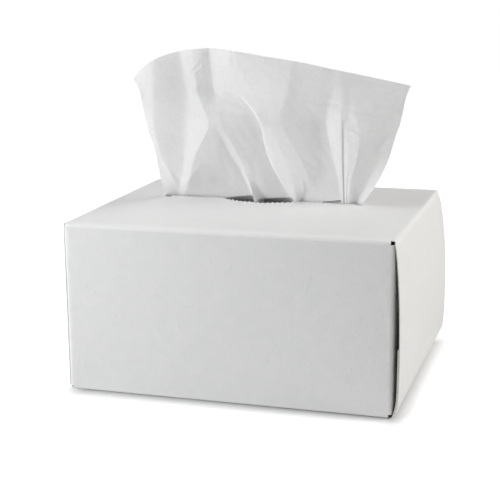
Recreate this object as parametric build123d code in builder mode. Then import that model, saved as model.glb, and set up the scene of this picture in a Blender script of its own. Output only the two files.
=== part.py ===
from build123d import *
import math
import os

# Carton of interfolded lens cleaning tissues, with its slot torn open and the first tissue drawn up.
# Lengths are in millimetres. +Z is up, +X runs along the carton, and the origin is the centre of the base.

# Carton: one die-cut sheet of white board, creased, folded and glued
carton_length = 216.6
carton_depth = 178.0
carton_height = 112.0
board = 0.6
fold_radius = 2.3
glue_line = 0.2
flap_gap = 0.2

# The top panel is pushed up by the drawn tissue, highest along the slot
top_rise = 4.0

# Side seam: the lap stands on the bottom panel's rear crease, inside the rear panel
lap_height = 15.0
seam_end_margin = 10.0
seam_width = 8.0
rear_edge_lift = 0.8

# Dispensing slot: two narrow arms and a wider eye, with the teeth that its perforation leaves
slot_end_margin = 37.8
slot_arm_width = 4.8
slot_eye_width = 21.6
slot_eye_length = 54.0
tooth_pitch = 3.2
tooth_depth = 0.9

# End flaps: a short inner one from the bottom, a full outer one from the top, bowed outwards
front_bow = 3.6
rear_bow = 6.8
inner_flap_height = 44.0
flap_side_relief = 0.6
dust_flap_length = 60.0
dust_flap_margin = 3.0
dust_flap_taper = 9.0
end_glue_width = 8.0
bead_clearance = 0.02
bead_levels = (0.32, 0.73)  # shares of the inner flap's height

# Height up the end panel as a share of the carton's height, and the share of the full bow there
bow_shape = ((0.08, 0.78), (0.18, 0.94), (0.40, 1.0), (0.62, 0.88), (0.82, 0.56), (0.92, 0.29))
bow_at_base = 0.33

# Pack of interfolded tissues, and the room left round it in the carton
pack_end_room = 6.8
pack_side_room = 6.5
pack_headroom = 17.8
pack_ridges = 18
pack_ridge_depth = 1.2

# The drawn tissue lies on the pack, gathers in the slot and stands fanned out above it
tissue_thickness = 0.4
tissue_clearance = 0.4
tissue_slot_run = 3.0
tissue_ripple = 3.0
tissue_peak = 102.0
tissue_rear_share = 0.9  # how far it lies towards the rear, as a share of half the pack's depth

# Its levels above the slot as shares of its peak, the last one above all of its free edge
tissue_levels = (0.14, 0.30, 0.50, 0.73, 1.02)

# Its folds from the left edge to the right one: first the place in the slot, as shares of the slot's half
# length and of its half width there, then (x, y) at each level in hundredths of half the sheet
tissue_folds = (
    ((-0.99, 0.0), (-72.5, 0.0), (-76.0, 1.0), (-82.5, 1.0), (-87.5, 0.5), (-103.0, 0.0)),
    ((-0.95, -0.2), (-65.0, -2.0), (-71.5, -1.5), (-76.0, -2.0), (-76.0, -2.5), (-75.5, -1.5)),
    ((-0.87, 0.2), (-56.5, 0.5), (-54.0, 0.5), (-53.0, 1.0), (-54.0, 1.0), (-59.0, 1.0)),
    ((-0.80, -0.4), (-49.5, -2.5), (-45.5, -3.5), (-36.5, -4.5), (-45.0, -0.5), (-49.0, 0.0)),
    ((-0.40, -0.3), (-31.0, -2.0), (-33.5, -1.0), (-33.0, -3.5), (-39.0, 1.0), (-43.0, 2.0)),
    ((-0.10, -0.6), (-12.5, -1.0), (-21.5, 0.5), (-30.0, -3.0), (-33.5, 2.5), (-37.0, 3.0)),
    ((-0.05, -0.8), (-9.5, -3.5), (-16.5, -1.0), (-26.0, -4.5), (-24.0, 0.5), (-25.0, 1.0)),
    ((0.29, -0.7), (12.0, 0.5), (4.5, 3.0), (-0.5, -0.5), (-16.0, 0.0), (-18.5, 1.0)),
    ((0.33, -0.4), (21.5, -3.0), (16.5, -0.5), (6.5, -3.5), (-7.5, -1.5), (-14.0, 0.5)),
    ((0.39, -0.4), (33.5, -2.0), (26.5, -1.0), (15.0, -3.5), (19.0, -4.5), (20.0, -0.5)),
    ((0.59, 0.4), (41.0, 3.0), (41.0, 2.0), (38.5, 1.0), (25.0, -3.5), (24.0, -1.0)),
    ((0.78, 0.4), (52.5, 3.0), (48.5, 2.5), (45.0, 1.0), (48.0, -2.0), (45.0, -0.5)),
    ((0.82, -0.4), (56.0, 0.5), (55.5, -0.5), (55.0, -2.0), (52.5, -2.5), (51.0, 0.0)),
    ((0.87, -0.4), (62.0, 0.5), (66.5, -1.5), (73.5, -3.5), (76.5, -2.0), (77.0, 0.5)),
    ((0.94, 0.4), (72.5, 3.0), (80.0, 2.0), (88.0, 0.5), (94.5, 0.0), (99.5, 0.0)),
    ((0.99, -0.2), (78.0, 1.0), (85.5, 0.0), (92.0, 0.5), (97.5, 0.0), (109.0, 0.0)),
)

# Its free edge: hundredths of half the sheet along it, and of its peak up it
tissue_free_edge = (
    (-91.0, 79.0), (-86.0, 85.0), (-75.0, 92.0), (-55.0, 98.5),
    (-36.0, 100.0), (8.0, 95.0), (50.0, 87.5), (100.0, 77.5),
)

# Sizes that follow from the ones above
half_length = carton_length / 2
half_depth = carton_depth / 2
inner_radius = fold_radius - board
dust_plane = half_length - board - flap_gap
tube_half = dust_plane - fold_radius
flap_half_width = half_depth - flap_side_relief
lap_outside = half_depth - board - glue_line
seam_length = 2 * (tube_half - seam_end_margin)
slot_length = carton_length - 2 * slot_end_margin
slot_level = carton_height + top_rise
pack_length = carton_length - 2 * pack_end_room
pack_depth = carton_depth - 2 * pack_side_room
pack_height = carton_height - 2 * board - pack_headroom
pack_top = board + pack_height
half_sheet = pack_length / 2


def hip_roof(base_level):
    """Top panel's raised part: four flat faces that climb from the creases to the slot's line."""
    with BuildPart() as roof:
        with BuildSketch(Plane.XY.offset(base_level)):
            Rectangle(2 * tube_half, 2 * (half_depth - fold_radius))
        with BuildSketch(Plane.XY.offset(base_level + top_rise)):
            Rectangle(slot_length, board)
        loft(ruled=True)
    return roof.part


def tube_block(inset, half):
    """Solid block of the tube of four panels, inset from its outside by a wall."""
    with BuildPart() as block:
        with BuildSketch(Plane.YZ.offset(-half)):
            with Locations((0, carton_height / 2)):
                RectangleRounded(
                    carton_depth - 2 * inset, carton_height - 2 * inset, fold_radius - inset
                )
        extrude(amount=2 * half)
    return block.part


def eye_half_width(x):
    """Half width of the slot at x: a circular bulge at its middle, and level arms."""
    arm = slot_arm_width / 2
    rise = slot_eye_width / 2 - arm
    chord = slot_eye_length / 2
    if abs(x) >= chord:
        return arm
    radius = (chord**2 + rise**2) / (2 * rise)
    return arm + rise - radius + math.sqrt(radius**2 - x**2)


def bow_line(bow, inset):
    """Points up an end flap from its lowest edge to the top fold, set in by an inset."""
    base = [(half_length + bow * bow_at_base - inset, fold_radius)]
    rise = [(half_length + bow * share - inset, level * carton_height) for level, share in bow_shape]
    return base + rise + [(half_length - inset, carton_height - fold_radius)]


def bowed_layer(inset, thickness):
    """Sheet that follows the bowed right end between its bottom and top folds."""
    with BuildPart() as layer:
        for y, bow in ((-flap_half_width, front_bow), (flap_half_width, rear_bow)):
            with BuildSketch(Plane.XZ.offset(-y)):
                with BuildLine():
                    outer = bow_line(bow, inset)
                    inner = bow_line(bow, inset + thickness)
                    Spline(*outer)
                    Line(outer[-1], inner[-1])
                    Spline(*inner)
                    Line(inner[0], outer[0])
                make_face()
        loft(ruled=True)
    return layer.part


def top_fold():
    """Fold from the top panel into the right outer end flap."""
    with BuildPart() as fold:
        with BuildSketch(Plane.XZ.offset(half_depth - fold_radius)):
            with BuildLine():
                Line((tube_half, carton_height), (half_length - fold_radius, carton_height))
                JernArc((half_length - fold_radius, carton_height), (1, 0), fold_radius, -90)
                Line(
                    (half_length, carton_height - fold_radius),
                    (half_length - board, carton_height - fold_radius),
                )
                JernArc((half_length - board, carton_height - fold_radius), (0, 1), inner_radius, 90)
                Line(
                    (half_length - fold_radius, carton_height - board),
                    (tube_half, carton_height - board),
                )
                Line((tube_half, carton_height - board), (tube_half, carton_height))
            make_face()
        extrude(amount=-2 * (half_depth - fold_radius))
    return fold.part


def bottom_fold():
    """Fold from the bottom panel into the right inner end flap, which lies behind the outer one."""
    with BuildPart() as fold:
        for y, bow in ((-flap_half_width, front_bow), (flap_half_width, rear_bow)):
            outside = half_length + bow * bow_at_base - board - glue_line
            centre = outside - fold_radius
            with BuildSketch(Plane.XZ.offset(-y)):
                with BuildLine():
                    Line((tube_half, 0), (centre, 0))
                    JernArc((centre, 0), (1, 0), fold_radius, 90)
                    Line((outside, fold_radius), (outside - board, fold_radius))
                    JernArc((outside - board, fold_radius), (0, -1), inner_radius, -90)
                    Line((centre, board), (tube_half, board))
                    Line((tube_half, board), (tube_half, 0))
                make_face()
        loft(ruled=True)
    return fold.part


def dust_flap():
    """Right dust flap of the front panel: its fold, and a tapered tongue behind the end flaps."""
    low = dust_flap_margin
    high = carton_height - dust_flap_margin
    tongue_start = -half_depth + fold_radius
    tongue_end = -half_depth + dust_flap_length
    with BuildPart() as flap:
        with BuildSketch(Plane.XY.offset(low)):
            with BuildLine():
                Line((tube_half, -half_depth), (tube_half, -half_depth + board))
                JernArc((tube_half, -half_depth + board), (1, 0), inner_radius, 90)
                Line((dust_plane - board, tongue_start), (dust_plane, tongue_start))
                JernArc((dust_plane, tongue_start), (0, -1), fold_radius, -90)
            make_face()
        extrude(amount=high - low)
        with BuildSketch(Plane.YZ.offset(dust_plane - board)):
            with BuildLine():
                Polyline(
                    (tongue_start, low),
                    (tongue_end, low + dust_flap_taper),
                    (tongue_end, high - dust_flap_taper),
                    (tongue_start, high),
                    close=True,
                )
            make_face()
        extrude(amount=board)
    return flap.part


def pack_side(start, levels):
    """Rounded folds of the tissues up one long side of the pack, as arcs from level to level."""
    out = math.copysign(pack_ridge_depth, start)
    for low, high in zip(levels, levels[1:]):
        ThreePointArc((start, low), (start + out, (low + high) / 2), (start, high))


def slot_place(fold):
    """Where a fold passes through the slot."""
    along, across = fold[0]
    x = along * slot_length / 2
    return Vector(x, across * eye_half_width(x))


def tissue_band(points):
    """Closed thin band along a line of points, half the tissue's thickness to each side."""
    steps = [(after - before).normalized() for before, after in zip(points, points[1:])]
    near, far = [], []
    for point, before, after in zip(points, [steps[0], *steps], [*steps, steps[-1]]):
        along = (before + after).normalized()
        aside = Vector(-along.Y, along.X) * (tissue_thickness / 2 / along.dot(before))
        near.append(point - aside)
        far.append(point + aside)
    Polyline(*near, *reversed(far), close=True)


outer_layer = bowed_layer(0.0, board)
glue_layer = bowed_layer(board + bead_clearance, glue_line - 2 * bead_clearance)
inner_layer = bowed_layer(board + glue_line, board)
outer_block = tube_block(0.0, tube_half)
inner_block = tube_block(board, tube_half)
roof_outside = hip_roof(carton_height)
roof_inside = hip_roof(carton_height - board)
fold_over = top_fold()
fold_under = bottom_fold()
dust_front = dust_flap()

# Right end: dust flaps, the short inner flap behind, then the full outer flap
with BuildPart() as end_closure:
    add(inner_layer)
    with BuildSketch(Plane.YZ.offset(half_length - carton_height)):
        with Locations((0, inner_flap_height)):
            Rectangle(carton_depth, carton_height, align=(Align.CENTER, Align.MIN))
    extrude(amount=2 * carton_height, mode=Mode.SUBTRACT)
    add(outer_layer)
    add(fold_over)
    add(fold_under)
    add(dust_front)
    add(mirror(dust_front, about=Plane.XZ, mode=Mode.PRIVATE))

with BuildPart() as carton:
    # Tube of front, top, rear and bottom panels
    add(outer_block)
    add(roof_outside)
    add(inner_block, mode=Mode.SUBTRACT)
    add(roof_inside, mode=Mode.SUBTRACT)

    # The slot's outline runs along its near edge and back along its far edge, a tooth at a time
    arm_end = (slot_length - slot_arm_width) / 2
    half_teeth = 2 * round(arm_end / tooth_pitch)
    with BuildSketch(Plane.XY.offset(carton_height - board)):
        with BuildLine():
            edge = []
            for step in range(-half_teeth, half_teeth + 1):
                station = arm_end * step / half_teeth
                notch = tooth_depth if step % 2 else 0.0
                edge.append((station, eye_half_width(station) - notch))
            near = Polyline(*[(x, -y) for x, y in edge])
            far = Polyline(*edge)
            ThreePointArc(near @ 1, (slot_length / 2, 0), far @ 1)
            ThreePointArc(near @ 0, (-slot_length / 2, 0), far @ 0)
        make_face()
    extrude(amount=top_rise + 2 * board, mode=Mode.SUBTRACT)

    # The rear panel's free edge hangs just clear of the bottom fold, over the glue lap
    with BuildSketch(Plane.YZ.offset(-tube_half)):
        with Locations((half_depth - fold_radius, 0)):
            Rectangle(2 * fold_radius, 2 * fold_radius, align=(Align.MIN, Align.CENTER))
    extrude(amount=2 * tube_half, mode=Mode.SUBTRACT)
    with BuildSketch(Plane.YZ.offset(-tube_half)):
        with Locations((half_depth - board, rear_edge_lift)):
            Rectangle(board, fold_radius, align=(Align.MIN, Align.MIN))
        with BuildLine():
            bend = lap_outside - fold_radius
            start = half_depth - 2 * fold_radius
            Line((start, 0), (bend, 0))
            JernArc((bend, 0), (1, 0), fold_radius, 90)
            Line((lap_outside, fold_radius), (lap_outside, lap_height))
            Line((lap_outside, lap_height), (lap_outside - board, lap_height))
            Line((lap_outside - board, lap_height), (lap_outside - board, fold_radius))
            JernArc((lap_outside - board, fold_radius), (0, -1), inner_radius, -90)
            Line((bend, board), (start, board))
            Line((start, board), (start, 0))
        make_face()
    extrude(amount=2 * tube_half)

    # Both ends close alike
    add(end_closure.part)
    add(mirror(end_closure.part, about=Plane.YZ, mode=Mode.PRIVATE))

with BuildPart() as seam_glue:
    with BuildSketch(Plane.XZ.offset(-lap_outside)):
        with Locations((0, (fold_radius + lap_height) / 2)):
            Rectangle(seam_length, seam_width)
    extrude(amount=-glue_line)

# Two beads hold each outer end flap on the inner one
with BuildPart() as end_glue_right:
    add(glue_layer)
    with BuildSketch(Plane.YZ.offset(half_length - carton_height)):
        with Locations(*[(0, share * inner_flap_height) for share in bead_levels]):
            Rectangle(carton_depth - 2 * dust_flap_taper, end_glue_width)
    extrude(amount=2 * carton_height, mode=Mode.INTERSECT)

with BuildPart() as end_glue_left:
    add(mirror(end_glue_right.part, about=Plane.YZ, mode=Mode.PRIVATE))

with BuildPart() as tissue_pack:
    with BuildSketch(Plane.YZ.offset(-pack_length / 2)):
        with BuildLine():
            levels = [board + pack_height * i / pack_ridges for i in range(pack_ridges + 1)]
            side = pack_depth / 2 - pack_ridge_depth
            pack_side(side, levels)
            pack_side(-side, levels)
            Line((-side, levels[0]), (side, levels[0]))
            Line((-side, levels[-1]), (side, levels[-1]))
        make_face()
    extrude(amount=pack_length)

with BuildPart() as drawn_tissue:
    # It rises from the pack, passes the slot and fans out above it, one level line after another
    lying = pack_top + tissue_clearance
    in_slot = [slot_place(fold) for fold in tissue_folds]
    rippled = [Vector(along * half_sheet, across * tissue_ripple) for (along, across), *_ in tissue_folds]
    lines = [(lying, rippled), (slot_level - tissue_slot_run, in_slot), (slot_level, in_slot)]
    for share, *places in zip(tissue_levels, *[fold[1:] for fold in tissue_folds]):
        line = [Vector(x, y) * (half_sheet / 100) for x, y in places]
        lines.append((slot_level + share * tissue_peak, line))
    for level, line in lines:
        with BuildSketch(Plane.XY.offset(level)):
            with BuildLine():
                tissue_band(line)
            make_face()
    loft(ruled=True)
    # Its free edge
    with BuildSketch(Plane.XZ.offset(-half_depth)):
        with BuildLine():
            over = slot_level + 2 * tissue_peak
            rim = [
                (x / 100 * half_sheet, slot_level + z / 100 * tissue_peak) for x, z in tissue_free_edge
            ]
            Spline(*rim)
            Polyline(
                rim[-1],
                (carton_length, rim[-1][1]),
                (carton_length, over),
                (-carton_length, over),
                (-carton_length, rim[0][1]),
                rim[0],
            )
        make_face()
    extrude(amount=carton_depth, mode=Mode.SUBTRACT)
    # The rest of it lies on the pack, towards the rear
    with BuildSketch(Plane.XY.offset(lying)):
        rear_reach = tissue_rear_share * pack_depth / 2
        Rectangle(pack_length, rear_reach, align=(Align.CENTER, Align.MIN))
    extrude(amount=tissue_thickness)

os.makedirs("parts", exist_ok=True)
for piece, name in (
    (carton, "carton"),
    (seam_glue, "seam_glue"),
    (end_glue_left, "end_glue_left"),
    (end_glue_right, "end_glue_right"),
    (tissue_pack, "tissue_pack"),
    (drawn_tissue, "drawn_tissue"),
):
    piece.part.label = name
    export_step(piece.part, f"parts/{name}.step")
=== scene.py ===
import logging
import math
from collections.abc import Callable, Sequence
from dataclasses import dataclass, field
from enum import Enum

import bpy
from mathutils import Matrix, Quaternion, Vector, noise


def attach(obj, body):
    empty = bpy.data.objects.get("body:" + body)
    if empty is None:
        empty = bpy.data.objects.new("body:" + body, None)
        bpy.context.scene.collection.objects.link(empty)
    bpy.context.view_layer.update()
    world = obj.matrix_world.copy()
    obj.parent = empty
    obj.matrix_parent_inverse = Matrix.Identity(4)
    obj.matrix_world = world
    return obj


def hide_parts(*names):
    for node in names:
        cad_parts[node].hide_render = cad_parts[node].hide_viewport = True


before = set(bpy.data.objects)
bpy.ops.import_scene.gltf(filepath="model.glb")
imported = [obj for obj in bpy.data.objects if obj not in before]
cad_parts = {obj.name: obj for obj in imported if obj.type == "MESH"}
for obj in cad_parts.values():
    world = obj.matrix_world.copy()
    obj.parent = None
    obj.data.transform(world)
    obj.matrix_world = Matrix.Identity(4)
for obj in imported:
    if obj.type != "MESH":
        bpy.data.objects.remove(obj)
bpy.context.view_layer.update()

# The looks of a white glued carton of interfolded tissues, with the first tissue drawn up through its slot.
# Sizes are in millimetres until the last step of each mesh, and +X runs along the carton.

MM = 0.001
log = logging.getLogger("tissue_box")

Tree = bpy.types.NodeTree
Socket = bpy.types.NodeSocket
Piece = bpy.types.Object
Point = tuple[float, float, float]
Pair = tuple[float, float]
Row = tuple[str, float]

ORIGIN = (0.0, 0.0, 0.0)
# Sockets of a Mix node for colours, by number, because its other modes' sockets have the same names.
MIX_SHARE, MIX_FROM, MIX_TO, MIX_OUT = 0, 6, 7, 2


def linear(colour: str) -> tuple[float, float, float, float]:
    """Turn an sRGB hex colour into linear light with full opacity.

    Args:
        colour: Six hex digits after a hash mark.

    Returns:
        Red, green, blue and alpha as Blender's sockets take them.
    """
    parts = [int(colour[i:i + 2], 16) / 255 for i in (1, 3, 5)]
    return (*(p / 12.92 if p <= 0.04045 else ((p + 0.055) / 1.055) ** 2.4 for p in parts), 1.0)


def add_node(tree: Tree, kind: str, inputs: dict | None = None, stops: Sequence[tuple[float, str]] = (),
             **settings) -> bpy.types.Node:
    """Add one node with its settings, socket values and links.

    Args:
        tree: The material's or world's node tree.
        kind: The node's type name.
        inputs: A value, or an output socket to link from, for each named or numbered input.
        stops: A colour ramp's two stops, each a place from 0 to 1 and the sRGB colour there.
        **settings: Properties of the node itself.

    Returns:
        The new node.
    """
    made = tree.nodes.new(kind)
    for name, value in settings.items():
        setattr(made, name, value)
    for socket, value in (inputs or {}).items():
        if isinstance(value, Socket):
            tree.links.new(value, made.inputs[socket])
        else:
            made.inputs[socket].default_value = value
    for i, (place, colour) in enumerate(stops):
        made.color_ramp.elements[i].position = place
        made.color_ramp.elements[i].color = linear(colour)
    return made


class Finish:
    """What all finishes share: one material, named for the real one, over the object's own coordinates."""

    name: str

    def surface(self, tree: Tree, coords: Socket) -> Socket:
        """Lay the finish's own nodes and return its shader: each finish says how."""
        raise NotImplementedError

    def build(self) -> bpy.types.Material:
        """Make the material.

        Returns:
            The material, with the finish's shader on its output.
        """
        material = bpy.data.materials.new(self.name)
        material.use_nodes = True
        tree = material.node_tree
        tree.nodes.clear()
        coords = add_node(tree, "ShaderNodeTexCoord").outputs["Object"]
        add_node(tree, "ShaderNodeOutputMaterial", {"Surface": self.surface(tree, coords)})
        return material


@dataclass(frozen=True)
class CoatedBoard(Finish):
    """Outside of solid bleached board, clay coated and calendered: white, smooth, a low sheen."""

    name: str = "board_clay_coated"
    colour: str = "#F1F1F0"
    mottle: str = "#EFEFEF"
    # Whiter tone of the folds: partly the creased coating's whitening, partly a painted highlight where the
    # rounded folds catch light.
    fold_wear_and_highlight_colour: str = "#F6F6F5"
    roughness_low: float = 0.41
    roughness_high: float = 0.53
    mottle_size: float = 9.0
    pulp_size: float = 0.9
    pulp_depth: float = 0.05
    dent_size: float = 3.2
    dent_depth: float = 0.14

    def surface(self, tree: Tree, coords: Socket) -> Socket:
        """Lay a faint cloudy mottle, whiter folds that stand partly for the creased coating's whitening and
        partly for a painted highlight, the pulp's fine orange peel and small dents.

        Args:
            tree: The material's node tree.
            coords: The object's own coordinates.

        Returns:
            The shader.
        """
        cloud = add_node(tree, "ShaderNodeTexNoise", {
            "Vector": coords, "Scale": 1 / (self.mottle_size * MM), "Detail": 3.0, "Roughness": 0.55})
        base = add_node(tree, "ShaderNodeValToRGB", {"Fac": cloud.outputs["Fac"]},
                        ((0.35, self.mottle), (0.65, self.colour)))
        # The crease attribute mixes in the folds' whiter tone, which is partly a painted highlight.
        crease = add_node(tree, "ShaderNodeAttribute", attribute_name="crease")
        tint = add_node(tree, "ShaderNodeMix", {
            MIX_SHARE: crease.outputs["Fac"], MIX_FROM: base.outputs["Color"],
            MIX_TO: linear(self.fold_wear_and_highlight_colour)}, data_type="RGBA")
        gloss = add_node(tree, "ShaderNodeMapRange", {
            "Value": cloud.outputs["Fac"], "To Min": self.roughness_low, "To Max": self.roughness_high})
        pulp = add_node(tree, "ShaderNodeTexNoise", {
            "Vector": coords, "Scale": 1 / (self.pulp_size * MM), "Detail": 4.0, "Roughness": 0.6})
        bump = add_node(tree, "ShaderNodeBump", {
            "Height": pulp.outputs["Fac"], "Strength": 0.2, "Distance": self.pulp_depth * MM})
        dents = add_node(tree, "ShaderNodeTexNoise", {
            "Vector": coords, "Scale": 1 / (self.dent_size * MM), "Detail": 2.0, "Roughness": 0.5})
        dents = add_node(tree, "ShaderNodeMapRange", {
            "Value": dents.outputs["Fac"], "From Min": 0.55, "From Max": 0.72},
            interpolation_type="SMOOTHSTEP")
        bump = add_node(tree, "ShaderNodeBump", {
            "Height": dents.outputs["Result"], "Strength": 0.8, "Distance": self.dent_depth * MM,
            "Normal": bump.outputs["Normal"]})
        return add_node(tree, "ShaderNodeBsdfPrincipled", {
            "Base Color": tint.outputs[MIX_OUT], "Roughness": gloss.outputs["Result"], "IOR": 1.47,
            "Specular IOR Level": 0.35, "Normal": bump.outputs["Normal"]}).outputs["BSDF"]


@dataclass(frozen=True)
class GrainedFinish(Finish):
    """A finish with one grain, which gives it two tones and a relief. Sizes are in millimetres."""

    name: str
    colour: str
    deep: str
    grain: float
    relief: float
    relief_strength: float
    tones: Pair
    detail: float
    roughness: float
    stretch: Point = (1.0, 1.0, 1.0)
    grain_roughness: float = 0.5
    ior: float = 1.5
    specular: float = 0.5
    clearness: float = 0.0
    clear_depth: float = 1.0

    def surface(self, tree: Tree, coords: Socket) -> Socket:
        """Lay the grain, and drive the two tones and the relief by it.

        Args:
            tree: The material's node tree.
            coords: The object's own coordinates.

        Returns:
            The shader.
        """
        drawn = add_node(tree, "ShaderNodeMapping", {"Vector": coords, "Scale": self.stretch})
        grain = add_node(tree, "ShaderNodeTexNoise", {
            "Vector": drawn.outputs["Vector"], "Scale": 1 / (self.grain * MM), "Detail": self.detail,
            "Roughness": self.grain_roughness})
        base = add_node(tree, "ShaderNodeValToRGB", {"Fac": grain.outputs["Fac"]},
                        tuple(zip(self.tones, (self.deep, self.colour))))
        bump = add_node(tree, "ShaderNodeBump", {
            "Height": grain.outputs["Fac"], "Strength": self.relief_strength, "Distance": self.relief * MM})
        return add_node(tree, "ShaderNodeBsdfPrincipled", {
            "Base Color": base.outputs["Color"], "Roughness": self.roughness, "IOR": self.ior,
            "Specular IOR Level": self.specular, "Subsurface Weight": self.clearness,
            "Subsurface Scale": self.clear_depth * MM, "Normal": bump.outputs["Normal"]}).outputs["BSDF"]


@dataclass(frozen=True)
class RawBoard(GrainedFinish):
    """Uncoated inside of the board and its cut or torn edges: long soft fibres, matt, a little warmer."""

    grain: float = 0.7
    relief: float = 0.1
    relief_strength: float = 0.35
    tones: Pair = (0.3, 0.62)
    detail: float = 5.0
    roughness: float = 0.85
    stretch: Point = (0.35, 1.0, 1.0)
    grain_roughness: float = 0.65
    ior: float = 1.45
    specular: float = 0.2


@dataclass(frozen=True)
class PackedTissue(GrainedFinish):
    """Edge of hundreds of interfolded sheets: fine level lines, with painted shade as the darker tone in the
    gaps between folds.

    The lines are drawn coarser than the real 0.3 mm so that they show.
    """

    name: str = "tissue_packed_sheets"
    colour: str = "#F1F1EF"
    # The darker tone is painted shade in the gaps between the folds.
    deep: str = "#CFCFCD"
    grain: float = 0.9
    relief: float = 0.3
    relief_strength: float = 0.6
    tones: Pair = (0.38, 0.5)
    detail: float = 2.0
    roughness: float = 0.9
    stretch: Point = (0.02, 0.02, 1.0)
    specular: float = 0.12


@dataclass(frozen=True)
class HotMelt(GrainedFinish):
    """Set hot-melt adhesive: honey-coloured colour clouds, waxy and a little clear."""

    name: str = "glue_hot_melt"
    colour: str = "#E9DDB8"
    deep: str = "#DCCB98"
    grain: float = 4.0
    relief: float = 0.2
    relief_strength: float = 0.3
    tones: Pair = (0.35, 0.65)
    detail: float = 2.0
    roughness: float = 0.4
    ior: float = 1.48
    clearness: float = 0.2


@dataclass(frozen=True)
class TissuePaper(Finish):
    """Lint-free wet-laid tissue: thin, white, matt, lets light through, with a fine creped web."""

    name: str = "tissue_lint_free"
    colour: str = "#FAFAFA"
    thin: str = "#F7F6F6"
    through: float = 0.26
    web: float = 0.8
    cloud: float = 2.4
    web_depth: float = 0.12

    def surface(self, tree: Tree, coords: Socket) -> Socket:
        """Lay a cloudy fibre formation and fine crepe, and let light through the sheet.

        Args:
            tree: The material's node tree.
            coords: The object's own coordinates.

        Returns:
            The shader.
        """
        cloud = add_node(tree, "ShaderNodeTexNoise", {
            "Vector": coords, "Scale": 1 / (self.cloud * MM), "Detail": 4.0, "Roughness": 0.6})
        base = add_node(tree, "ShaderNodeValToRGB", {"Fac": cloud.outputs["Fac"]},
                        ((0.36, self.thin), (0.64, self.colour)))
        crepe = add_node(tree, "ShaderNodeTexNoise", {
            "Vector": coords, "Scale": 1 / (self.web * MM), "Detail": 3.0, "Roughness": 0.6})
        bump = add_node(tree, "ShaderNodeBump", {
            "Height": crepe.outputs["Fac"], "Strength": 0.22, "Distance": self.web_depth * MM})
        front = add_node(tree, "ShaderNodeBsdfPrincipled", {
            "Base Color": base.outputs["Color"], "Roughness": 0.92, "IOR": 1.4, "Specular IOR Level": 0.12,
            "Normal": bump.outputs["Normal"]})
        back = add_node(tree, "ShaderNodeBsdfTranslucent", {
            "Color": base.outputs["Color"], "Normal": bump.outputs["Normal"]})
        return add_node(tree, "ShaderNodeMixShader", {
            0: self.through, 1: front.outputs["BSDF"], 2: back.outputs["BSDF"]}).outputs["Shader"]


@dataclass(frozen=True)
class PaperSweep(Finish):
    """Matt white studio paper: keeps the shadow, is white further out, and has a painted shadow by the
    carton's base.
    """

    name: str = "studio_paper_sweep"
    colour: str = "#F2F2F2"
    # Colour that the painted shadow darkens the paper towards.
    dark: str = "#000000"
    base_middle: Point = (4.5, -7.0, 0.0)
    base_half: Point = (101.5, 82.0, 0.0)
    # Painted shadow: how far out from the base it reaches and how much it darkens the paper.
    painted_shadow_reach: float = 14.0
    painted_shadow_strength: float = 0.35
    bright_reach: float = 32.0

    def surface(self, tree: Tree, coords: Socket) -> Socket:
        """Paint a soft shadow on the paper close to the carton's base and lift it to white away from it, for
        the camera alone.

        Args:
            tree: The material's node tree.
            coords: The object's own coordinates.

        Returns:
            The shader.
        """
        away = coords
        for operation, other in (("SUBTRACT", self.base_middle), ("ABSOLUTE", ORIGIN),
                                 ("SUBTRACT", self.base_half), ("MAXIMUM", ORIGIN)):
            away = add_node(tree, "ShaderNodeVectorMath", {0: away, 1: Vector(other) * MM},
                            operation=operation).outputs["Vector"]
        away = add_node(tree, "ShaderNodeVectorMath", {0: away}, operation="LENGTH").outputs["Value"]
        camera = add_node(tree, "ShaderNodeLightPath").outputs["Is Camera Ray"]
        seen = []
        # The first share paints a shadow near the base; the second lifts the paper to white further out.
        for reach, near, far in ((self.painted_shadow_reach, self.painted_shadow_strength, 0.0), (self.bright_reach, 0.0, 1.0)):
            share = add_node(tree, "ShaderNodeMapRange", {
                "Value": away, "From Max": reach * MM, "To Min": near, "To Max": far})
            seen.append(add_node(tree, "ShaderNodeMath", {0: share.outputs["Result"], 1: camera},
                                 operation="MULTIPLY").outputs["Value"])
        # Painted shadow: the paper's colour mixed towards black near the base.
        shade = add_node(tree, "ShaderNodeMix", {
            MIX_SHARE: seen[0], MIX_FROM: linear(self.colour), MIX_TO: linear(self.dark)}, data_type="RGBA")
        paper = add_node(tree, "ShaderNodeBsdfDiffuse", {"Color": shade.outputs[MIX_OUT]})
        glow = add_node(tree, "ShaderNodeEmission", {"Strength": seen[1]})
        return add_node(tree, "ShaderNodeAddShader", {
            0: paper.outputs["BSDF"], 1: glow.outputs["Emission"]}).outputs["Shader"]


class Side(Enum):
    """End of the carton."""

    RIGHT = 1
    LEFT = -1


class Face(Enum):
    """Long side of the carton."""

    FRONT = -1
    REAR = 1


def spaced(start: float, end: float, steps: int) -> list[float]:
    """List even stations from start to end, both included."""
    return [start + (end - start) * i / steps for i in range(steps + 1)]


def smooth(share: float) -> float:
    """Ease a share from 0 to 1 with level ends, held inside that range."""
    share = min(max(share, 0.0), 1.0)
    return share * share * (3 - 2 * share)


def uneven(across: float, along: float, lane: float) -> float:
    """Vary smoothly between about -1 and 1, the same on each run; each use has a lane of its own."""
    return noise.noise(Vector((across, along, lane)))


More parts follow.
